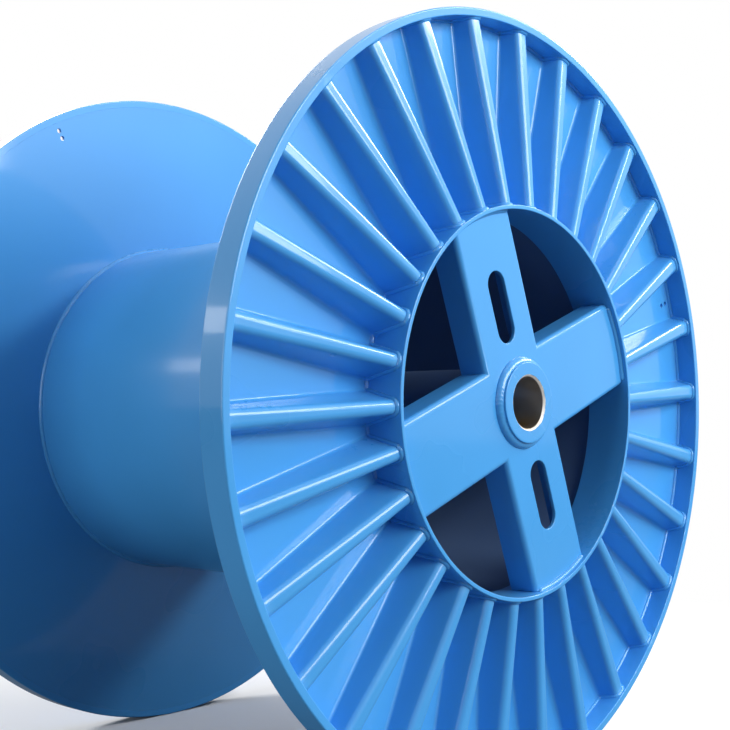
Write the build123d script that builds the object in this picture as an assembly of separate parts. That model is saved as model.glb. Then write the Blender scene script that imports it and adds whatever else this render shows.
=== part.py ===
from build123d import *
import math
import os

# Corrugated steel bobbin: a barrel between two reinforced flanges, all welded into one body.
# It is modelled upright, its axis along Z, and then laid on its two rims.
# Lengths are in millimetres and angles in degrees.

# Flanges and barrel
rim_radius = 560
hoop_thickness = 12
hoop_width = 40
winding_width = 723
plate_thickness = 3
sheet_thickness = 2
barrel_radius = 288
barrel_wall = 6

# Pressed ribs of the corrugated sheet
rib_count = 30
rib_base_at_rim = 38
rib_base_at_hub = 44
rib_side_lean = 15
rib_drop_at_rim = 6
rib_rise_at_hub = 18
rib_crest_bevel = 4
rib_turn = -1
rib_sweep = 2
rib_end_gap = 1

# Hub ring, spokes, bush and centre tube
ring_wall = 6
ring_stand = 24
ring_insert = 9.5
arm_width = 134
arm_depth = 45
arm_wall = 6
arm_bend_radius = 8
web_stand = 13.5
slot_width = 40
slot_length = 105
slot_centre_radius = 143
bush_radius = 58
bush_stand = 25
bush_length = 65
bore_radius = 37.5
bore_chamfer = 3
tube_radius = 51
tube_wall = 6

# Wire-end holes, in pairs in from the hoop, in the valleys this many rib steps from the slotted arm
wire_hole_radius = 4
wire_hole_spacing = 13.5
wire_hole_setback = 20
wire_hole_valleys = (-7.5, -14.5)

# How the bobbin lies: the lean of the slotted arm, and the axis that turns one end into the other
drum_turn = 20.8
end_swap_angle = 6.4

# How far a cutting shape runs past what it cuts
overrun = 5

# Heights above the middle of the barrel
plate_inner = winding_width / 2
sheet_inner = plate_inner + plate_thickness
sheet_outer = sheet_inner + sheet_thickness
lip = plate_inner + hoop_width
ring_radius = barrel_radius - barrel_wall
hoop_inner_radius = rim_radius - hoop_thickness
rib_pitch = 360 / rib_count
rib_start_radius = ring_radius + rib_end_gap
rib_shift = (hoop_inner_radius - ring_radius) * math.sin(math.radians(rib_sweep))
rib_corner = rib_base_at_rim / 2 + rib_shift
rib_end_radius = math.sqrt(hoop_inner_radius**2 - rib_corner**2) - rib_end_gap


def tube(outer_radius, inner_radius, bottom, top):
    """A straight tube about Z between two heights."""
    height = top - bottom
    wall = Cylinder(outer_radius, height) - Cylinder(inner_radius, height + 2 * overrun)
    return Pos(0, 0, (bottom + top) / 2) * wall


def rib_form(inset):
    """A solid rib along X, its surface this far inside the outer face of the pressed sheet.

    It is what is left of a block under a sloping crest plane and between two leaning side
    planes, swept a little out of the radius and cut square just short of hub ring and hoop.
    """
    hub_height = lip + rib_rise_at_hub - sheet_outer
    rim_height = lip - rib_drop_at_rim - sheet_outer
    run = rib_end_radius - rib_start_radius
    middle = Pos(rib_start_radius + run / 2, 0, sheet_outer)
    rib = middle * Box(2 * run, 2 * rib_base_at_hub, 4 * hub_height)
    along = Vector(run, 0, rim_height - hub_height)
    crest_origin = (rib_start_radius, 0, sheet_outer + hub_height - inset)
    crest_plane = Plane(origin=crest_origin, x_dir=along, z_dir=along.cross(Vector(0, 1, 0)))
    rib = split(rib, crest_plane, keep=Keep.BOTTOM)
    lean = math.radians(rib_side_lean)
    half_base = rib_base_at_hub / 2 - inset / math.cos(lean)
    spread = (rib_base_at_rim - rib_base_at_hub) / 2
    for side in (-1, 1):
        foot_line = Vector(run, side * spread, 0)
        up_side = Vector(0, -side * math.tan(lean), 1)
        side_plane = Plane(
            origin=(rib_start_radius, side * half_base, sheet_outer),
            x_dir=foot_line,
            z_dir=foot_line.cross(up_side) * -side,
        )
        rib = split(rib, side_plane, keep=Keep.BOTTOM)
    crest_edges = rib.faces().sort_by(Axis.Z)[-1].edges().filter_by(
        lambda edge: edge.length > rib_base_at_hub
    )
    rib = chamfer(crest_edges, rib_crest_bevel - inset / 2)
    rib = Pos(rib_start_radius, 0, 0) * Rot(0, 0, rib_sweep) * Pos(-rib_start_radius, 0, 0) * rib
    rib &= middle * Box(run - 2 * inset, 3 * rib_base_at_hub, 4 * hub_height)
    return split(rib, Plane.XY.offset(sheet_outer - inset), keep=Keep.TOP)


def make_corrugated_sheet():
    """The outer disc, pressed with ribs that run from the hub ring to the hoop."""
    ribs = PolarLocations(0, rib_count, 90 + rib_turn)
    floor = tube(hoop_inner_radius, ring_radius, sheet_inner, sheet_outer)
    rib = rib_form(0)
    hollow = rib_form(sheet_thickness)
    pressed = floor + [place * rib for place in ribs]
    return pressed - [place * hollow for place in ribs] - wire_holes()


def wire_holes():
    """Drills for the pairs of small holes that hold the wire's end."""
    drills = []
    height = plate_thickness + sheet_thickness + 2 * overrun
    for valley in wire_hole_valleys:
        for side in (-1, 1):
            distance = hoop_inner_radius - wire_hole_setback + side * wire_hole_spacing / 2
            turn = Rot(0, 0, 90 + rib_turn + valley * rib_pitch)
            middle = (plate_inner + sheet_outer) / 2
            drills.append(turn * Pos(distance, 0, middle) * Cylinder(wire_hole_radius, height))
    return drills


def make_flange_plate():
    """The smooth disc on the winding side."""
    return tube(hoop_inner_radius, ring_radius, plate_inner, sheet_inner) - wire_holes()


def make_rim_hoop():
    """The flat bar rolled into a hoop round the rim."""
    return tube(rim_radius, hoop_inner_radius, plate_inner, lip)


def make_hub_ring():
    """The ring that passes through the flange into the barrel's end."""
    return tube(ring_radius, ring_radius - ring_wall, plate_inner - ring_insert, lip + ring_stand)


def cross_prism(width, bottom, top):
    """Two crossed bars, cut round to the inside of the hub ring."""
    height = top - bottom
    reach = 2 * ring_radius
    bars = Box(width, reach, height) + Box(reach, width, height)
    return Pos(0, 0, (bottom + top) / 2) * bars


def make_spoke_cross():
    """Four channel arms in one cross, webs outward, one pair slotted."""
    web = lip + web_stand
    foot = web - arm_depth
    cross = cross_prism(arm_width, foot, web)
    long_edges = cross.faces().sort_by(Axis.Z)[-1].edges().filter_by(
        lambda edge: edge.length > arm_width
    )
    cross = fillet(long_edges, arm_bend_radius)
    hollow = cross_prism(arm_width - 2 * arm_wall, foot - overrun, web - arm_wall)
    inside = Cylinder(ring_radius - ring_wall, 2 * (web + overrun))
    cross = (cross - hollow) & inside
    cross -= Pos(0, 0, web) * Cylinder(bush_radius, 2 * arm_depth)
    for side in (-1, 1):
        slot = extrude(SlotOverall(slot_length, slot_width, rotation=90), 2 * arm_depth, both=True)
        cross -= Pos(0, side * slot_centre_radius, web) * slot
    return cross


def make_hub_bush():
    """The machined bush with the bore."""
    top = lip + bush_stand
    bush = tube(bush_radius, bore_radius, top - bush_length, top)
    bore_edges = bush.edges().filter_by(GeomType.CIRCLE).group_by(SortBy.RADIUS)[0]
    return chamfer(bore_edges, bore_chamfer)


def save(name, shape):
    """Lay the upright piece on its rims and write it under its own name."""
    laid = lying * Rot(0, 0, drum_turn) * shape
    export_step(laid, f"parts/{name}.step")


end_makers = {
    "rim_hoop": make_rim_hoop,
    "flange_plate": make_flange_plate,
    "corrugated_sheet": make_corrugated_sheet,
    "hub_ring": make_hub_ring,
    "spoke_cross": make_spoke_cross,
    "hub_bush": make_hub_bush,
}

os.makedirs("parts", exist_ok=True)
lying = Plane(origin=(0, 0, rim_radius), x_dir=(0, 1, 0), z_dir=(1, 0, 0)).location
swap = Rot(0, 0, end_swap_angle) * Rot(180, 0, 0) * Rot(0, 0, -end_swap_angle)
for piece, make in end_makers.items():
    front = make()
    save(f"{piece}_front", front)
    save(f"{piece}_rear", swap * front)

save("barrel", tube(barrel_radius, barrel_radius - barrel_wall, -plate_inner, plate_inner))
tube_end = lip + bush_stand - bush_length
save("centre_tube", tube(tube_radius, tube_radius - tube_wall, -tube_end, tube_end))
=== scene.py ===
import bpy
import bmesh
import math
import numpy as np
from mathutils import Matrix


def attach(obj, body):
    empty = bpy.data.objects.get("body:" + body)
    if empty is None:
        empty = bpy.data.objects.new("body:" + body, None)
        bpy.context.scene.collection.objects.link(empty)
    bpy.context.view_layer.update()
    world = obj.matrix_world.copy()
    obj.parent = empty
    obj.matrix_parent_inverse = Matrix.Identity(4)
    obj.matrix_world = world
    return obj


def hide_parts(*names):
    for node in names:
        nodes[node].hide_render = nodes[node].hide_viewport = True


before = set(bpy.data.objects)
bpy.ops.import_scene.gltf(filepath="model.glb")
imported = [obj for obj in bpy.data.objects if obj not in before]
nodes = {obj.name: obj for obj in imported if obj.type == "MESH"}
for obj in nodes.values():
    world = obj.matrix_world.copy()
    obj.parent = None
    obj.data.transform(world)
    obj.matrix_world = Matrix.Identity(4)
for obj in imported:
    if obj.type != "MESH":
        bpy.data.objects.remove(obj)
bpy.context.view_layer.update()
print("loaded", len(nodes), "CAD nodes")

# Corrugated steel bobbin in blue enamel, lying on its two rims.
# Lengths are in metres: radii from the bobbin's axis, heights along it from the barrel's middle.
# Angles run from +Y towards +Z. An end is 1 at the front flange and -1 at the rear one.
bobbin = {
    "axisHeight": 0.560,
    "rimRadius": 0.5599,        # outside of the rolled hoops
    "hoopInside": 0.548,
    "plateInner": 0.3615,       # winding side of the flange plate
    "sheetOuter": 0.3665,       # valley floor of the corrugated sheet
    "lip": 0.4015,              # outer edge of the hoop
    "barrelRadius": 0.288,
    "ringRadius": 0.282,
    "ringInside": 0.276,
    "webFace": 0.415,           # outer face of the spoke cross
    "armWidth": 0.134,
    "armLean": 110.8,           # slotted arm of the front end, degrees
    "mirrorAngle": 54.4,        # an angle a on the front end is this minus a on the rear one
}
around = 288                    # steps round a full circle
noiseSpread = (0.3, 0.7)        # a noise stays mostly between these
ends = ((1, "front"), (-1, "rear"))


# A place on one end: y = radius cos(angle), z = axis height + radius sin(angle), x = the height
# along the axis. The rear end is the front one turned over, so its angles run the other way.
def alongAxis(radius, angle, height, end):
    if end < 0:
        angle = math.radians(bobbin["mirrorAngle"]) - angle
    y = radius * np.cos(angle)
    z = bobbin["axisHeight"] + radius * np.sin(angle)
    x = np.broadcast_to(end * np.asarray(height, float), np.shape(y))
    return np.stack(np.broadcast_arrays(x, y, z), -1)


def unit(vectors):              # each vector over its own length
    return vectors / np.linalg.norm(vectors, axis=-1, keepdims=True)


# A mesh of four-sided faces as an object at the origin.
def meshPiece(name, vertices, quads):
    mesh = bpy.data.meshes.new(name)
    mesh.vertices.add(len(vertices))
    mesh.vertices.foreach_set("co", np.ascontiguousarray(vertices, np.float32).ravel())
    mesh.loops.add(quads.size)
    mesh.loops.foreach_set("vertex_index", np.ascontiguousarray(quads, np.int32).ravel())
    mesh.polygons.add(len(quads))
    mesh.polygons.foreach_set("loop_start", np.arange(0, quads.size, 4, dtype=np.int32))
    mesh.update(calc_edges=True)
    mesh.validate()
    mesh.shade_smooth()
    piece = bpy.data.objects.new(name, mesh)
    bpy.context.scene.collection.objects.link(piece)
    return piece


# A grid of points [row, column] becomes quads between neighbours, and a wrapped direction closes
# on itself. Where the sum of a . (b x c) over the faces, six times the volume, is negative, the
# faces are turned.
def gridPiece(name, points, wrapRows, wrapColumns):
    rows, columns = points.shape[:2]
    r = np.arange(rows if wrapRows else rows - 1)
    c = np.arange(columns if wrapColumns else columns - 1)
    row, column = np.meshgrid(r, c, indexing="ij")
    nextRow, nextColumn = (row + 1) % rows, (column + 1) % columns
    quads = np.stack([row * columns + column, nextRow * columns + column,
                      nextRow * columns + nextColumn, row * columns + nextColumn],
                     -1).reshape(-1, 4)
    flat = points.reshape(-1, 3)
    centred = flat - flat.mean(0)
    first, second, third, fourth = (centred[quads[:, k]] for k in range(4))
    volume = (first * np.cross(second, third)).sum() + (first * np.cross(third, fourth)).sum()
    return meshPiece(name, flat, quads[:, ::-1] if volume < 0 else quads)


# A rectangle in radius and height with rounded corners. Each corner is a quarter circle, with one
# more point beyond each end of it by a support share of its radius, so that the flats look flat.
def roundedSection(inner, outer, low, high, easing, steps=5, support=0.25):
    corners = [(outer, high, 0), (inner, high, 90), (inner, low, 180), (outer, low, 270)]
    section = []
    for (radius, height, start), ease in zip(corners, easing):
        t = np.radians(start + np.linspace(0, 90, steps))
        centreRadius = radius - ease if radius == outer else radius + ease
        centreHeight = height - ease if height == high else height + ease
        arc = np.stack([centreRadius + ease * np.cos(t), centreHeight + ease * np.sin(t)], -1)
        tangent = np.stack([-np.sin(t), np.cos(t)], -1) * support * ease
        section += [arc[:1] - tangent[:1], arc, arc[-1:] + tangent[-1:]]
    return np.concatenate(section)


# A closed section in radius and height, turned round the bobbin's axis.
def turnedPiece(name, section, end, steps=around):
    turn = np.linspace(0, 2 * np.pi, steps, endpoint=False)
    radius, angle = np.meshgrid(section[:, 0], turn)
    height = np.broadcast_to(section[:, 1], radius.shape)
    return gridPiece(name, alongAxis(radius, angle, height, end), True, True)


# A finished piece gets its material, its body and the CAD nodes it stands for; its slot name is not
# used.
def dress(piece, material, slotName, *replaced):
    piece.data.materials.clear()
    piece.data.materials.append(material)
    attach(piece, "root")
    if replaced:
        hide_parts(*replaced)
    return piece


# Paint and steel

# A node of one kind, with its properties and unlinked inputs set by name.
def nodeAt(tree, kind, **values):
    node = tree.nodes.new(kind)
    for key, value in values.items():
        if hasattr(node, key):
            setattr(node, key, value)
        else:
            node.inputs[key.replace("_", " ")].default_value = value
    return node


def feed(tree, socket, value):  # a number or colour is set, anything else is linked
    if isinstance(value, (int, float, tuple)):
        socket.default_value = value
    else:
        tree.links.new(value, socket)


# One step of arithmetic on shader values, such as MULTIPLY or ADD.
def mathNode(tree, operation, *values):
    node = nodeAt(tree, "ShaderNodeMath", operation=operation)
    for socket, value in zip(node.inputs, values):
        feed(tree, socket, value)
    return node.outputs[0]


# Straight ramp: low gives toLow, high gives toHigh, and it stays level beyond them.
def rampNode(tree, value, low, high, toLow=0.0, toHigh=1.0):
    node = nodeAt(tree, "ShaderNodeMapRange", From_Min=low, From_Max=high, To_Min=toLow,
                  To_Max=toHigh)
    tree.links.new(value, node.inputs["Value"])
    return node.outputs[0]


# a (1 - factor) + b factor, for colours and for numbers.
def mixColour(tree, factor, a, b):
    node = nodeAt(tree, "ShaderNodeMix", data_type="RGBA")
    for socket, value in ((node.inputs[0], factor), (node.inputs[6], a), (node.inputs[7], b)):
        feed(tree, socket, value)
    return node.outputs[2]


def mixValue(tree, factor, a, b):
    node = nodeAt(tree, "ShaderNodeMix", data_type="FLOAT")
    for socket, value in ((node.inputs[0], factor), (node.inputs[2], a), (node.inputs[3], b)):
        feed(tree, socket, value)
    return node.outputs[0]


# A soft noise from 0 to 1 on the given coordinates.
def noiseNode(tree, place, scale, detail, roughness=0.5):
    node = nodeAt(tree, "ShaderNodeTexNoise", Detail=detail, Roughness=roughness)
    tree.links.new(place, node.inputs["Vector"])
    feed(tree, node.inputs["Scale"], scale)
    return node.outputs["Fac"]


# The Object coordinates, the distance from the bobbin's axis, which is the root of y squared plus
# the height above the axis squared, and that height.
def placeAroundAxis(tree):
    place = tree.nodes.new("ShaderNodeTexCoord").outputs["Object"]
    split = tree.nodes.new("ShaderNodeSeparateXYZ")
    tree.links.new(place, split.inputs[0])
    y = split.outputs["Y"]
    above = mathNode(tree, "SUBTRACT", split.outputs["Z"], bobbin["axisHeight"])
    squares = mathNode(tree, "ADD", mathNode(tree, "MULTIPLY", y, y),
                       mathNode(tree, "MULTIPLY", above, above))
    return place, mathNode(tree, "SQRT", squares), above


# An empty shader node group with its named sockets.
def newGroup(name, inputs, outputs):
    group = bpy.data.node_groups.new(name, "ShaderNodeTree")
    for label, kind, value in inputs:
        socket = group.interface.new_socket(label, in_out="INPUT", socket_type=kind)
        socket.default_value = value
    for label, kind in outputs:
        group.interface.new_socket(label, in_out="OUTPUT", socket_type=kind)
    return group, group.nodes.new("NodeGroupInput"), group.nodes.new("NodeGroupOutput")


paint = {
    "Colour": (0.064, 0.350, 0.780, 1),
    "Thin Colour": (0.210, 0.540, 0.880, 1),
    "Cloud Scale": 3.0,
    "Cloud Amount": 0.05,
    "Edge Amount": 0.4,
    "Dust Amount": 0.04,
    "Roughness": 0.30,
    "Peel Scale": 260.0,
    "Peel Strength": 0.10,
    "Specular": 0.25,
    "Coat": 0.5,
    "Coat Roughness": 0.07,
}
skinInputs = ("Colour", "Thin Colour", "Cloud Scale", "Cloud Amount", "Edge Amount", "Dust Amount",
              "Roughness", "Peel Scale")
enamel = {
    "cloudDetail": 3.0,
    "cloudRoughness": 0.04,         # what the clouds take from the roughness and add to it
    "peelDetail": 1.5,
    "peelDepth": 0.0004,
    "speckScale": 70.0,
    "speckDetail": 4.0,
    "speckRoughness": 0.65,
    "convexRange": (0.53, 0.62),    # pointiness at which the paint starts to thin and is thinnest
    "wearSpecks": (0.35, 0.6),
    "facingUp": (0.5, 1.0),         # upward part of the normal that dust lies on
    "dustSpecks": (0.4, 0.7),
    "dustColour": (0.6, 0.62, 0.6, 1),
    "dustRoughness": 2.0,
}


# Sprayed enamel. Tone: colour times 1 + cloud amount times a slow noise from -1 to 1. Edges:
# thin lighter paint on convex spots, times specks. Dust: on what faces up, times specks. Height:
# a fine noise, the orange peel. Roughness moves with the clouds and rises under dust.
def enamelSkinGroup():
    group, entry, leave = newGroup(
        "enamelSkin",
        [(key, "NodeSocketColor" if "Colour" in key else "NodeSocketFloat", paint[key])
         for key in skinInputs],
        [("Colour", "NodeSocketColor"), ("Roughness", "NodeSocketFloat"),
         ("Height", "NodeSocketFloat")])
    link = group.links.new
    place = group.nodes.new("ShaderNodeTexCoord").outputs["Object"]
    geometry = group.nodes.new("ShaderNodeNewGeometry")
    cloud = noiseNode(group, place, entry.outputs["Cloud Scale"], enamel["cloudDetail"])
    peel = noiseNode(group, place, entry.outputs["Peel Scale"], enamel["peelDetail"])
    speck = noiseNode(group, place, enamel["speckScale"], enamel["speckDetail"],
                      enamel["speckRoughness"])

    tone = rampNode(group, cloud, *noiseSpread, -1.0, 1.0)
    tone = mathNode(group, "MULTIPLY", tone, entry.outputs["Cloud Amount"])
    shaded = nodeAt(group, "ShaderNodeVectorMath", operation="SCALE")
    link(entry.outputs["Colour"], shaded.inputs[0])
    link(mathNode(group, "ADD", tone, 1.0), shaded.inputs["Scale"])

    edge = mathNode(group, "MULTIPLY",
                    rampNode(group, geometry.outputs["Pointiness"], *enamel["convexRange"]),
                    rampNode(group, speck, *enamel["wearSpecks"]))
    edge = mathNode(group, "MULTIPLY", edge, entry.outputs["Edge Amount"])
    colour = mixColour(group, edge, shaded.outputs[0], entry.outputs["Thin Colour"])

    facing = group.nodes.new("ShaderNodeSeparateXYZ")
    link(geometry.outputs["Normal"], facing.inputs[0])
    dust = mathNode(group, "MULTIPLY", rampNode(group, facing.outputs["Z"], *enamel["facingUp"]),
                    rampNode(group, speck, *enamel["dustSpecks"]))
    dust = mathNode(group, "MULTIPLY", dust, entry.outputs["Dust Amount"])
    link(mixColour(group, dust, colour, enamel["dustColour"]), leave.inputs["Colour"])

    shift = enamel["cloudRoughness"]
    rough = rampNode(group, cloud, *noiseSpread, -shift, shift)
    rough = mathNode(group, "ADD", rough, entry.outputs["Roughness"])
    rough = mathNode(group, "ADD", rough,
                     mathNode(group, "MULTIPLY", dust, enamel["dustRoughness"]))
    link(rough, leave.inputs["Roughness"])
    link(peel, leave.inputs["Height"])
    return group


enamelSkin = enamelSkinGroup()


# The bobbin's paint with the given changes to its look.
def enamelMaterial(name, **changes):
    look = {**paint, **{key.replace("_", " "): value for key, value in changes.items()}}
    material = bpy.data.materials.new(name)
    material.use_nodes = True
    tree = material.node_tree
    shader = tree.nodes["Principled BSDF"]
    skin = tree.nodes.new("ShaderNodeGroup")
    skin.name = "skin"
    skin.node_tree = enamelSkin
    for key in skinInputs:
        skin.inputs[key].default_value = look[key]
    bump = nodeAt(tree, "ShaderNodeBump", Strength=look["Peel Strength"],
                  Distance=enamel["peelDepth"])
    bump.name = "bump"
    tree.links.new(skin.outputs["Height"], bump.inputs["Height"])
    tree.links.new(skin.outputs["Colour"], shader.inputs["Base Color"])
    tree.links.new(skin.outputs["Roughness"], shader.inputs["Roughness"])
    tree.links.new(bump.outputs["Normal"], shader.inputs["Normal"])
    shader.inputs["Specular IOR Level"].default_value = look["Specular"]
    shader.inputs["Coat Weight"].default_value = look["Coat"]
    shader.inputs["Coat Roughness"].default_value = look["Coat Roughness"]
    return material


flangePaint = enamelMaterial("flangeEnamel")
barrelPaint = enamelMaterial("barrelEnamel", Cloud_Scale=4.0, Peel_Strength=0.16, Roughness=0.34,
                             Coat_Roughness=0.16)
crossPaint = enamelMaterial("crossEnamel", Peel_Scale=320.0, Edge_Amount=0.0)
# The plates' enamel is a slightly darker copy of the flange paint: painted shade on both plates.
shadedPlatePaint = enamelMaterial("plateEnamelShaded", Cloud_Scale=2.0, Edge_Amount=0.0,
                            Colour=(0.064, 0.332, 0.730, 1))
weldPaint = enamelMaterial("weldEnamel", Roughness=0.26, Peel_Strength=0.25)

bushLook = {
    "bareRadius": 0.0404,       # paint starts on the chamfer's rim
    "raggedness": 0.0006,
    "raggedScale": 90.0,
    "raggedDetail": 3.0,
    "chamferFrom": 0.0378,
    "step": 0.0003,             # over which one finish passes into the next
    # near-white chamfer colour: bare steel with a painted highlight
    "chamfer": (0.86, 0.84, 0.80, 1),
    "chamferMetal": 0.3,        # how metallic the chamfer is, the bore being 1; kept low so its pale painted highlight shows
    "steel": (0.58, 0.58, 0.58, 1),
    "stain": (0.52, 0.36, 0.14, 1),
    "stainScale": 28.0,
    "stainDetail": 5.0,
    "stainRoughness": 0.6,
    "stainPatches": (0.35, 0.60),
    "leastStain": 0.25,
    "oilFrom": -0.010,          # height against the axis at which the oil stain starts
    "oilAt": -0.030,
    "smooth": 0.28,
    "rough": 0.50,
    "turningScale": 160.0,      # tool marks along the bore
    "turningWobble": 0.6,
}


# Enamel outside and bare turned steel in the bore. The distance from the axis tells one from the
# other, and a noise added to it makes the paint's edge ragged. Oil has stained the bore's floor.
# The chamfer is near white and barely metallic: a painted highlight on its bare steel.
def bushMaterial(look):
    material = enamelMaterial("bushEnamelAndSteel")
    tree = material.node_tree
    link = tree.links.new
    shader, skin, bump = (tree.nodes[key] for key in ("Principled BSDF", "skin", "bump"))
    place, radius, above = placeAroundAxis(tree)
    ragged = noiseNode(tree, place, look["raggedScale"], look["raggedDetail"])
    wobble = rampNode(tree, ragged, *noiseSpread, -look["raggedness"], look["raggedness"])
    bare = rampNode(tree, mathNode(tree, "ADD", radius, wobble),
                    look["bareRadius"] + look["step"], look["bareRadius"] - look["step"])
    stain = noiseNode(tree, place, look["stainScale"], look["stainDetail"],
                      look["stainRoughness"])
    oil = mathNode(tree, "MULTIPLY", rampNode(tree, above, look["oilFrom"], look["oilAt"]),
                   rampNode(tree, stain, *look["stainPatches"], look["leastStain"], 1.0))
    steel = mixColour(tree, oil, look["steel"], look["stain"])
    chamfer = rampNode(tree, radius, look["chamferFrom"], look["chamferFrom"] + look["step"])
    colour = mixColour(tree, bare, skin.outputs["Colour"], steel)
    # the chamfer's pale colour is a painted highlight on the bare steel
    link(mixColour(tree, mathNode(tree, "MULTIPLY", bare, chamfer), colour, look["chamfer"]),
         shader.inputs["Base Color"])
    metal = rampNode(tree, chamfer, 0, 1, 1.0, look["chamferMetal"])
    link(mathNode(tree, "MULTIPLY", bare, metal), shader.inputs["Metallic"])
    steelRough = rampNode(tree, stain, *noiseSpread, look["smooth"], look["rough"])
    link(mixValue(tree, bare, skin.outputs["Roughness"], steelRough), shader.inputs["Roughness"])
    link(rampNode(tree, bare, 0, 1, paint["Coat"], 0.0), shader.inputs["Coat Weight"])
    turned = nodeAt(tree, "ShaderNodeTexWave", bands_direction="X", Scale=look["turningScale"],
                    Distortion=look["turningWobble"])
    link(place, turned.inputs["Vector"])
    link(mixValue(tree, bare, skin.outputs["Height"], turned.outputs["Fac"]),
         bump.inputs["Height"])
    return material


insideShade = {
    "radius": 0.2846,           # within the barrel's wall; nearer the axis the painted shade shows
    "step": 0.0003,
    # dark blue that stands for the shade inside the barrel
    "colour": (0.090, 0.160, 0.310, 1),
    "roughness": 0.85,
}


# Painted shade: a matt dark colour inside the barrel and on the centre tube, told from the
# enamel outside by the distance from the axis.
def darkInside(material):
    tree = material.node_tree
    shader, skin = tree.nodes["Principled BSDF"], tree.nodes["skin"]
    radius = placeAroundAxis(tree)[1]
    inside = rampNode(tree, radius, insideShade["radius"] + insideShade["step"],
                      insideShade["radius"] - insideShade["step"])
    tree.links.new(mixColour(tree, inside, skin.outputs["Colour"], insideShade["colour"]),
                   shader.inputs["Base Color"])
    matt = mathNode(tree, "MULTIPLY", inside, insideShade["roughness"])
    tree.links.new(mathNode(tree, "MAXIMUM", matt, skin.outputs["Roughness"]),
                   shader.inputs["Roughness"])
    tree.links.new(rampNode(tree, inside, 0, 1, paint["Coat"], 0.0),
                   shader.inputs["Coat Weight"])


bushPaint = bushMaterial(bushLook)
darkInside(barrelPaint)
print("materials made")

# Flanges
hoop = {"outerEase": 0.0020, "innerEase": 0.0012, "flushEase": 0.0001, "steps": 360}


# The rolled flat bar: a rounded rectangle turned round the axis.
def rimHoop(end, label):
    section = roundedSection(bobbin["hoopInside"], bobbin["rimRadius"],
                             bobbin["plateInner"], bobbin["lip"],
                             (hoop["outerEase"], hoop["innerEase"],
                              hoop["flushEase"], hoop["outerEase"]))
    piece = turnedPiece(f"{label}RimHoop", section, end, hoop["steps"])
    return dress(piece, flangePaint, "blue_paint", f"rim_hoop_{label}")


sheet = {
    "ribs": 30,
    "firstRib": 109.8,          # degrees; one rib of the front end, at the hub ring
    "sweep": 2.0,               # turn of a rib out of the radius, degrees
    "baseAtHub": 0.044,         # width of a rib where its sides meet the floor
    "baseAtRim": 0.038,
    "heightAtHub": 0.053,       # crest above the valley floor
    "heightAtRim": 0.029,
    "lean": 15.0,               # of the rib's sides from upright, degrees
    "footRadius": 0.0050,
    "crestRadius": 0.0092,
    "crestShare": 0.92,         # most of the half crest that its rounding may take
    "thickness": 0.002,
    "stations": 14,             # along the rib
    "footPoints": 6,            # round each foot arc
    "crestPoints": 7,
    "floorShares": (0, 0.5, 0.96),
    "sideShares": (0.06, 0.5, 0.94),
    "topShares": (0.25, 1),
    "sharpFrom": 50,            # degrees between faces
}


# Half of one pitch of the pressed section at each radius, from the middle of the valley to the
# middle of the crest: floor, foot arc, leaning side, crest arc, crest. Widths and heights change
# along the rib by straight lines. An arc of radius R between two lines that turn through an angle
# starts R tan(half the angle) from their corner. It gives the distance from the rib's middle and
# the height above the floor, as arrays [radius, point].
def ribSection(radius):
    radius = radius[:, None]
    level = 0 * radius
    share = (radius - bobbin["ringRadius"]) / (bobbin["hoopInside"] - bobbin["ringRadius"])
    half = (sheet["baseAtHub"] + (sheet["baseAtRim"] - sheet["baseAtHub"]) * share) / 2
    tall = sheet["heightAtHub"] + (sheet["heightAtRim"] - sheet["heightAtHub"]) * share
    lean = math.radians(sheet["lean"])
    turn = math.pi / 2 - lean
    cutBack = math.tan(turn / 2)
    valley = radius * math.sin(math.pi / sheet["ribs"])
    foot = sheet["footRadius"]
    floorEnd = half + foot * cutBack
    footTurn = np.linspace(0, turn, sheet["footPoints"])
    footAcross = floorEnd - foot * np.sin(footTurn)
    footHeight = foot * (1 - np.cos(footTurn)) + level
    top = half - tall * math.tan(lean)
    crest = np.minimum(sheet["crestRadius"], sheet["crestShare"] * top / cutBack)
    crestTurn = np.linspace(turn, 0, sheet["crestPoints"])
    crestAcross = top - crest * cutBack + crest * np.sin(crestTurn)
    crestHeight = tall - crest * (1 - np.cos(crestTurn))
    floorShare, sideShare, topShare = (np.array(sheet[key])
                                       for key in ("floorShares", "sideShares", "topShares"))
    across = [valley + (floorEnd - valley) * floorShare, footAcross,
              footAcross[:, -1:] + (crestAcross[:, :1] - footAcross[:, -1:]) * sideShare,
              crestAcross, crestAcross[:, -1:] * (1 - topShare)]
    height = [level + 0 * floorShare, footHeight,
              footHeight[:, -1:] + (crestHeight[:, :1] - footHeight[:, -1:]) * sideShare,
              crestHeight, tall + 0 * topShare]
    return np.concatenate(across, 1), np.concatenate(height, 1)


# The whole section at each radius, all the way round: half a pitch, its mirror image, and that
# turned on by one pitch at a time. A point's angle is the arc sine of its distance across over the
# radius. A rib swept by s about its hub end is turned on by s less arcsin(hub radius sin s over
# radius).
def pressedRow(radius):
    across, height = ribSection(radius)
    off = np.arcsin(across / radius[:, None])
    angle = np.concatenate([-off, off[:, -2:0:-1]], 1)
    tall = np.concatenate([height, height[:, -2:0:-1]], 1)
    turns = np.arange(sheet["ribs"]) * 2 * np.pi / sheet["ribs"] + math.radians(sheet["firstRib"])
    sweep = math.radians(sheet["sweep"])
    swept = sweep - np.arcsin(bobbin["ringRadius"] * math.sin(sweep) / radius)
    angle = angle[:, None, :] + turns[None, :, None] + swept[:, None, None]
    return angle.reshape(len(radius), -1), np.tile(tall, (1, sheet["ribs"]))


wireHoles = {
    "radius": 0.004,
    "spacing": 0.0135,
    "middle": 0.528,            # distance of a pair's middle from the axis
    "valleys": (-7.5, -14.5),   # rib steps from the first rib
    "drillLength": 0.02,
    "drillBack": 0.001,         # from the valley floor to the drill's middle
    "sides": 32,
}


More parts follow.
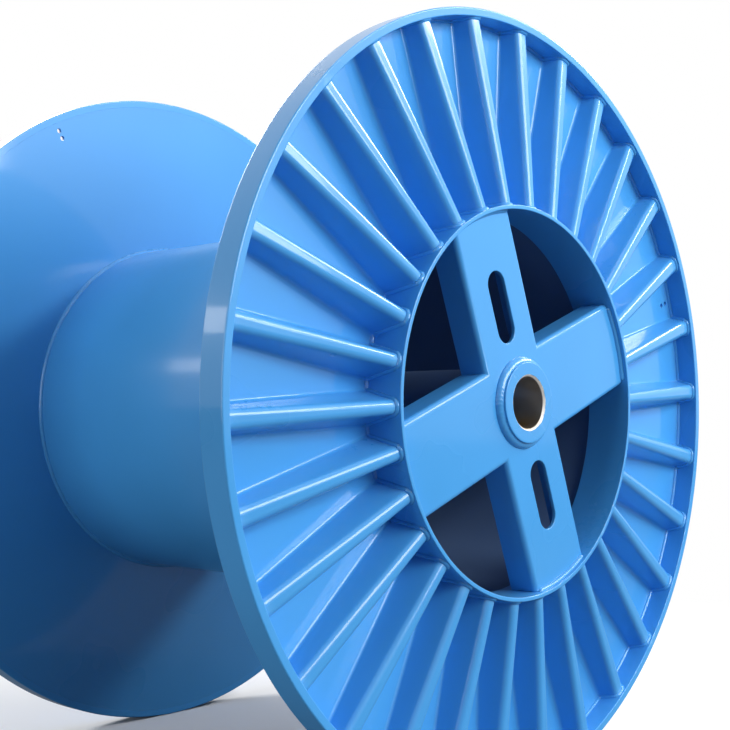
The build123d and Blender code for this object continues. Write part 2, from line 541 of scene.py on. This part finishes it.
# Short rods through the flange at each wire-end hole.
def holeDrills(end):
    drills = []
    pitch = 2 * math.pi / sheet["ribs"]
    for valley in wireHoles["valleys"]:
        for side in (-1, 1):
            radius = wireHoles["middle"] + side * wireHoles["spacing"] / 2
            angle = math.radians(sheet["firstRib"]) + valley * pitch
            middle = alongAxis(radius, angle, bobbin["sheetOuter"] - wireHoles["drillBack"], end)
            bpy.ops.mesh.primitive_cylinder_add(vertices=wireHoles["sides"],
                                                radius=wireHoles["radius"],
                                                depth=wireHoles["drillLength"], location=middle,
                                                rotation=(0, math.pi / 2, 0))
            drills.append(bpy.context.object)
    return drills


# The cutters' volume comes out of the piece, and the cutters go.
def cutOut(piece, cutters):
    for cutter in cutters:
        cut = piece.modifiers.new("cut", "BOOLEAN")
        cut.operation = "DIFFERENCE"
        cut.solver = "EXACT"
        cut.object = cutter
    bpy.context.view_layer.update()
    graph = bpy.context.evaluated_depsgraph_get()
    mesh = bpy.data.meshes.new_from_object(piece.evaluated_get(graph))
    piece.modifiers.clear()
    piece.data = mesh
    for cutter in cutters:
        bpy.data.objects.remove(cutter)


# The pressed section carried from the hub ring to the hoop. The under side is the same surface,
# one thickness back along its normal, the cross product of the two directions on the surface.
def corrugatedSheet(end, label):
    radius = np.linspace(bobbin["ringRadius"], bobbin["hoopInside"], sheet["stations"])
    angle, tall = pressedRow(radius)
    reach = np.broadcast_to(radius[:, None], angle.shape)
    top = alongAxis(reach, angle, bobbin["sheetOuter"] + tall, end)
    outward = np.gradient(top, axis=0)
    sideways = np.roll(top, -1, 1) - np.roll(top, 1, 1)
    normal = unit(np.cross(outward, sideways))
    normal *= np.sign((normal[..., :1] * end).mean())
    under = top - sheet["thickness"] * normal
    piece = gridPiece(f"{label}CorrugatedSheet", np.concatenate([top, under[::-1]], 0), True, True)
    cutOut(piece, holeDrills(end))
    piece.data.shade_smooth()
    piece.data.set_sharp_from_angle(angle=math.radians(sheet["sharpFrom"]))
    return dress(piece, flangePaint, "blue_paint", f"corrugated_sheet_{label}")


ring = {"low": 0.352, "high": 0.4255, "ease": 0.0012}


# The rolled ring: a rounded rectangle turned round the axis.
def hubRing(end, label):
    section = roundedSection(bobbin["ringInside"], bobbin["ringRadius"], ring["low"], ring["high"],
                             (ring["ease"],) * 4)
    piece = turnedPiece(f"{label}HubRing", section, end)
    return dress(piece, flangePaint, "blue_paint", f"hub_ring_{label}")


cross = {
    "mergeWithin": 1e-5,
    "flatWithin": 1,            # degrees between faces that become one
    "ease": 0.0012,
    "easedFrom": 40,            # degrees between faces whose edge is eased
    "segments": 2,
    "flatWeight": 100,          # how far large faces decide the shading at their edges
}


# A copy of the CAD cross with its loose triangles merged and its cut edges eased.
def spokeCross(end, label):
    mesh = nodes[f"spoke_cross_{label}"].data.copy()
    mesh.name = f"{label}SpokeCross"
    merged = bmesh.new()
    merged.from_mesh(mesh)
    bmesh.ops.remove_doubles(merged, verts=merged.verts, dist=cross["mergeWithin"])
    bmesh.ops.dissolve_limit(merged, angle_limit=math.radians(cross["flatWithin"]),
                             verts=merged.verts, edges=merged.edges)
    merged.to_mesh(mesh)
    merged.free()
    piece = bpy.data.objects.new(mesh.name, mesh)
    bpy.context.scene.collection.objects.link(piece)
    mesh.shade_smooth()
    bevel = piece.modifiers.new("easedEdges", "BEVEL")
    bevel.width = cross["ease"]
    bevel.segments = cross["segments"]
    bevel.limit_method = "ANGLE"
    bevel.angle_limit = math.radians(cross["easedFrom"])
    level = piece.modifiers.new("flatFaces", "WEIGHTED_NORMAL")
    level.weight = cross["flatWeight"]
    return dress(piece, crossPaint, "blue_paint", f"spoke_cross_{label}")


bush = {
    "radius": 0.058,
    "low": 0.3615,
    "high": 0.4265,
    "bore": 0.0375,
    "chamfer": 0.003,
    "ease": 0.0012,
    "support": 0.00015,         # from a chamfer's corner to the points beside it
    "steps": 144,
    "arcPoints": 5,
}


# Section of the bush: outer wall with quarter circles at its corners, end faces, chamfers, bore.
def hubBush(end, label):
    wall, bore, low, high = bush["radius"], bush["bore"], bush["low"], bush["high"]
    ease, near = bush["ease"], bush["support"]
    mouth, depth = bore + bush["chamfer"], bush["chamfer"]
    t = np.radians(np.linspace(0, 90, bush["arcPoints"]))
    topArc = np.stack([wall - ease + ease * np.cos(t), high - ease + ease * np.sin(t)], -1)
    lowArc = np.stack([wall - ease + ease * np.sin(t), low + ease - ease * np.cos(t)], -1)
    inner = np.array([[wall - 2 * ease, high], [mouth + near, high], [mouth, high],
                      [mouth - near, high - near], [bore + near, high - depth + near],
                      [bore, high - depth], [bore, high - depth - near],
                      [bore, low + depth + near], [bore, low + depth],
                      [bore + near, low + depth - near], [mouth - near, low + near],
                      [mouth, low], [mouth + near, low], [wall - 2 * ease, low]])
    section = np.concatenate([topArc, inner, lowArc])
    piece = turnedPiece(f"{label}HubBush", section, end, bush["steps"])
    return dress(piece, bushPaint, "bush_steel", f"hub_bush_{label}")


for end, label in ends:
    rimHoop(end, label)
    corrugatedSheet(end, label)
    hubRing(end, label)
    spokeCross(end, label)
    hubBush(end, label)
    plate = nodes[f"flange_plate_{label}"]      # the flat plate keeps its CAD mesh
    plate.data.materials.clear()
    plate.data.materials.append(shadedPlatePaint)
print("flanges made")

# Barrel and centre tube
barrel = {"wall": 0.006, "ease": 0.0006, "arcSteps": 3}
tube = {"radius": 0.051, "wall": 0.006, "end": 0.3615, "steps": 96}


# Two tubes: thin rounded rectangles turned round the axis.
def barrelShell():
    section = roundedSection(bobbin["barrelRadius"] - barrel["wall"], bobbin["barrelRadius"],
                             -bobbin["plateInner"], bobbin["plateInner"], (barrel["ease"],) * 4,
                             barrel["arcSteps"])
    piece = turnedPiece("barrelShell", section, 1)
    return dress(piece, barrelPaint, "blue_paint", "barrel")


def centreTube():
    section = roundedSection(tube["radius"] - tube["wall"], tube["radius"],
                             -tube["end"], tube["end"], (barrel["ease"],) * 4, barrel["arcSteps"])
    piece = turnedPiece("centreTube", section, 1, tube["steps"])
    return dress(piece, barrelPaint, "blue_paint", "centre_tube")


barrelShell()
centreTube()
print("barrel made")

# Weld beads
weld = {
    "ripple": 0.0055,           # length of one ripple
    "depth": 0.02,              # share of the bead's size that a ripple takes
    "lag": 0.4,                 # ripples by which a bead's middle runs ahead of its sides
    "wander": 0.03,             # share of its size by which the bead swells and thins slowly
    "waves": (3, 7, 12, 19, 31),    # slow waves along a whole bead
    "waveHeights": (0.3, 1),
    "wavePhases": (0, 6.3),
    "fullWave": 3,              # sum of the waves that counts as 1
    "bulge": 0.22,              # how far the face stands proud of the straight line
    "sink": 0.0008,             # how far the back of the bead sits in the metal
    "backReach": 0.9,           # share of the legs that the back covers
    "tip": 0.02,                # square of the share of its size that an open bead's end keeps
    "points": 9,
    "stepShare": 0.25,          # of a ripple, along the bead
    "circlePoints": 360,
    "arcPoints": 40,
    "pressedStep": 0.004 / 3,   # between the points along the pressed sheet
    "armInset": 0.006,          # from an arm's edge to the end of its bead
}


# Places at equal distances along a line of points, by straight interpolation on its length. It
# gives their positions as fractions of the index and the distance run.
def evenSteps(path, closed, step, fewest=8):
    run = np.concatenate([path, path[:1]]) if closed else path
    length = np.concatenate([[0], np.cumsum(np.linalg.norm(np.diff(run, axis=0), axis=1))])
    count = max(int(length[-1] / step), fewest)
    distance = np.linspace(0, length[-1], count, endpoint=not closed)
    return np.interp(distance, length, np.arange(len(run))), distance


def sampled(values, index, closed):     # straight interpolation between neighbouring rows
    run = np.concatenate([values, values[:1]]) if closed else values
    low = np.floor(index).astype(int).clip(0, len(run) - 2)
    share = (index - low)[:, None]
    return run[low] * (1 - share) + run[low + 1] * share


# A fillet bead in the corner of two walls. At each place the section runs from the end of leg A to
# the end of leg B, bulged by sin(pi t), and closes behind the corner. Ripples swell it by a cosine
# of the distance run, bent back at the sides, and slow waves of random height and phase vary it.
# An open bead tapers to its ends as a quarter circle.
def weldBead(name, path, legA, legB, size, closed, seed):
    index, run = evenSteps(path, closed, weld["ripple"] * weld["stepShare"])
    corner, a, b = (sampled(values, index, closed) for values in (path, legA, legB))
    a, b = unit(a), unit(b)
    random = np.random.default_rng(seed)
    waves = sum(random.uniform(*weld["waveHeights"])
                * np.sin(2 * np.pi * (k * run / run[-1]) + random.uniform(*weld["wavePhases"]))
                for k in weld["waves"]) / weld["fullWave"]
    t = np.linspace(0, 1, weld["points"])
    bow = np.sin(np.pi * t)
    ripples = np.cos(2 * np.pi * (run[:, None] / weld["ripple"] + weld["lag"] * bow))
    swell = 1 + weld["depth"] * ripples + weld["wander"] * waves[:, None]
    if not closed:
        taper = np.clip(np.minimum(run, run[-1] - run) / size, 0, 1)
        swell = swell * np.sqrt(np.clip(1 - (1 - taper) ** 2, weld["tip"], 1))[:, None]
    out = unit(a + b)
    face = corner[:, None] + size * swell[..., None] * (
        (1 - t)[:, None] * a[:, None] + t[:, None] * b[:, None]
        + weld["bulge"] * bow[:, None] * out[:, None])
    sink, reach = weld["sink"], weld["backReach"] * size
    back = np.stack([corner - sink * out + reach * b - sink * a,
                     corner - 2 * sink * out,
                     corner - sink * out + reach * a - sink * b], 1)
    loop = np.concatenate([face, back], 1)
    if not closed:
        middle = loop.mean(1, keepdims=True)
        loop = np.concatenate([np.broadcast_to(middle[:1], loop[:1].shape), loop,
                               np.broadcast_to(middle[-1:], loop[-1:].shape)], 0)
    return dress(gridPiece(name, loop, closed, True), weldPaint, "blue_paint")


beads = {                       # size of each bead and the seed of its slow waves
    "ringFoot": (0.0038, 11),
    "hoopFoot": (0.0035, 21),
    "barrel": (0.0045, 31),
    "boss": (0.0085, 41),
    "webEnd": (0.0045, 51),
}


# A bead in a round corner: a circle or a part of one, one leg along the radius, one along the axis.
def circleCorner(radius, height, end, outward, upward, bead, name, spread=None,
                 extraSeed=0):
    size, seed = beads[bead]
    if spread is None:
        angle = np.linspace(0, 2 * np.pi, weld["circlePoints"], endpoint=False)
    else:
        angle = np.linspace(*spread, weld["arcPoints"])
    path = alongAxis(np.full_like(angle, radius), angle, height, end)
    legA = alongAxis(np.full_like(angle, radius + size * outward), angle, height, end) - path
    legB = np.broadcast_to(np.array([end * upward, 0.0, 0.0]), path.shape)
    return weldBead(name, path, legA, legB, size, spread is None, seed + extraSeed + end)


# A bead where the corrugated sheet butts on a round wall. It follows the pressed section. One leg
# is the sheet's normal in the wall, path direction cross radius, and the other runs off the wall.
def pressedCorner(radius, towards, bead, end, name):
    size, seed = beads[bead]
    angle, tall = pressedRow(np.array([radius]))
    path = alongAxis(np.full_like(angle[0], radius), angle[0], bobbin["sheetOuter"] + tall[0], end)
    index, _ = evenSteps(path, True, weld["pressedStep"])
    path = sampled(path, index, True)
    centre = np.array([0, 0, bobbin["axisHeight"]])
    out = unit((path - centre) * np.array([0, 1, 1]))
    normal = unit(np.cross(np.roll(path, -1, 0) - np.roll(path, 1, 0), out))
    if (normal[:, 0] * end).mean() < 0:
        normal = -normal
    return weldBead(name, path, normal, out * towards, size, True, seed + end)


for end, label in ends:
    pressedCorner(bobbin["ringRadius"], 1, "ringFoot", end, f"{label}RingFootWeld")
    pressedCorner(bobbin["hoopInside"], -1, "hoopFoot", end, f"{label}HoopFootWeld")
    circleCorner(bobbin["barrelRadius"], bobbin["plateInner"], end, 1, -1, "barrel",
                 f"{label}BarrelWeld")
    circleCorner(bush["radius"], bobbin["webFace"], end, 1, 1, "boss", f"{label}BossWeld")
    halfArm = math.asin((bobbin["armWidth"] / 2 - weld["armInset"]) / bobbin["ringInside"])
    for arm in range(4):
        lean = math.radians(bobbin["armLean"] + 90 * arm)
        circleCorner(bobbin["ringInside"], bobbin["webFace"], end, -1, 1, "webEnd",
                     f"{label}WebWeld{arm + 1}", (lean - halfArm, lean + halfArm), 2 * arm)
print("weld beads made")

# Floor, light and camera
stage = {
    "floorSize": 60,
    "floorColour": (0.86, 0.86, 0.86, 1),
    "floorRoughness": 0.9,
    "floorBounce": 0.15,        # share of its colour that the floor gives back to other surfaces
    "whiteFrom": 0.8,           # distance at which the floor starts to fade to white
    "whiteAt": 2.0,
    "worldLight": 0.11,
    "worldMirrored": 1.0,       # the white that gloss and bare steel show
}


# A pale floor that fades to white with the distance from its middle, where the camera sees it.
def paleFloor():
    bpy.ops.mesh.primitive_plane_add(size=stage["floorSize"], location=(0, 0, 0))
    floor = bpy.context.object
    floor.name = "floor"
    material = bpy.data.materials.new("paleFloor")
    material.use_nodes = True
    tree = material.node_tree
    shader = tree.nodes["Principled BSDF"]
    shader.inputs["Roughness"].default_value = stage["floorRoughness"]
    path = tree.nodes.new("ShaderNodeLightPath")
    dark = tuple(stage["floorBounce"] * c for c in stage["floorColour"][:3]) + (1,)
    tree.links.new(mixColour(tree, path.outputs["Is Camera Ray"], dark, stage["floorColour"]),
                   shader.inputs["Base Color"])
    place = tree.nodes.new("ShaderNodeTexCoord").outputs["Object"]
    length = nodeAt(tree, "ShaderNodeVectorMath", operation="LENGTH")
    tree.links.new(place, length.inputs[0])
    far = rampNode(tree, length.outputs["Value"], stage["whiteFrom"], stage["whiteAt"])
    white = nodeAt(tree, "ShaderNodeEmission", Strength=1.0)
    mix = tree.nodes.new("ShaderNodeMixShader")
    tree.links.new(mathNode(tree, "MULTIPLY", far, path.outputs["Is Camera Ray"]), mix.inputs[0])
    tree.links.new(shader.outputs[0], mix.inputs[1])
    tree.links.new(white.outputs[0], mix.inputs[2])
    tree.links.new(mix.outputs[0], tree.nodes["Material Output"].inputs["Surface"])
    floor.data.materials.append(material)


# White where the camera sees it and where it is mirrored, a plain soft light elsewhere.
def whiteWorld():
    world = bpy.data.worlds.new("studio")
    bpy.context.scene.world = world
    world.use_nodes = True
    tree = world.node_tree
    background = tree.nodes["Background"]
    background.inputs["Color"].default_value = (1, 1, 1, 1)
    path = tree.nodes.new("ShaderNodeLightPath")
    mirrored = mathNode(tree, "MAXIMUM", path.outputs["Is Glossy Ray"],
                        path.outputs["Is Transmission Ray"])
    soft = rampNode(tree, mirrored, 0, 1, stage["worldLight"], stage["worldMirrored"])
    tree.links.new(mathNode(tree, "MAXIMUM", soft, path.outputs["Is Camera Ray"]),
                   background.inputs["Strength"])


lamps = {                       # place, what it points at, size, watts
    "upperFront": ((3.6, 0.7, 2.1), (0.5, 0, 0.5), (2.6, 1.6), 144),
    "rightWindow": ((1.9, 2.9, 2.8), (0.4, 0, 0.6), (3.0, 0.4), 84),
    "skylight": ((0.0, 0.1, 3.4), (0, 0, 0.5), (2.0, 2.0), 20),
    "sideFill": ((-0.3, -3.4, 1.1), (0, 0, 0.55), (2.6, 1.6), 42),
    "rearWindow": ((-2.1, -2.2, 1.5), (0, 0, 0.6), (0.7, 0.3), 4),
    "upperRear": ((-3.5, 0.9, 2.8), (-0.5, 0, 0.5), (2.4, 1.6), 130),
}


# A rectangular lamp turned to its target. Its tilt is the arc cosine of its height above the
# target over its distance from it.
def softLamp(name, place, target, size, watts):
    data = bpy.data.lights.new(name, "AREA")
    data.shape = "RECTANGLE"
    data.size, data.size_y = size
    data.energy = watts
    lamp = bpy.data.objects.new(name, data)
    bpy.context.scene.collection.objects.link(lamp)
    away = np.array(place, float) - np.array(target, float)
    lamp.location = place
    yaw = math.atan2(away[0], -away[1])
    tilt = math.acos(away[2] / np.linalg.norm(away))
    lamp.rotation_euler = (tilt, 0, yaw)


view = {
    "place": (1.4611, -1.4969, 0.5299),
    "aim": (-0.6704, 0.7414, 0.0286),   # direction
    "lens": 62.34,
    "sensor": 36,
    "shift": (0.0016, 0.0310),
    "farthest": 200,
}


# The photo's viewpoint. The tilt from straight down is a right angle plus the arc sine of the
# direction's rise over its length.
def photoCamera():
    data = bpy.data.cameras.new("camera")
    data.lens = view["lens"]
    data.sensor_width = view["sensor"]
    data.shift_x, data.shift_y = view["shift"]
    data.clip_end = view["farthest"]
    camera = bpy.data.objects.new("camera", data)
    bpy.context.scene.collection.objects.link(camera)
    camera.location = view["place"]
    x, y, z = view["aim"]
    camera.rotation_euler = (math.pi / 2 + math.asin(z / math.hypot(x, y, z)), 0,
                             math.atan2(-x, y))
    bpy.context.scene.camera = camera


paleFloor()
whiteWorld()
for name, values in lamps.items():
    softLamp(name, *values)
photoCamera()
bpy.context.scene.view_settings.view_transform = "Standard"

print("stage made")
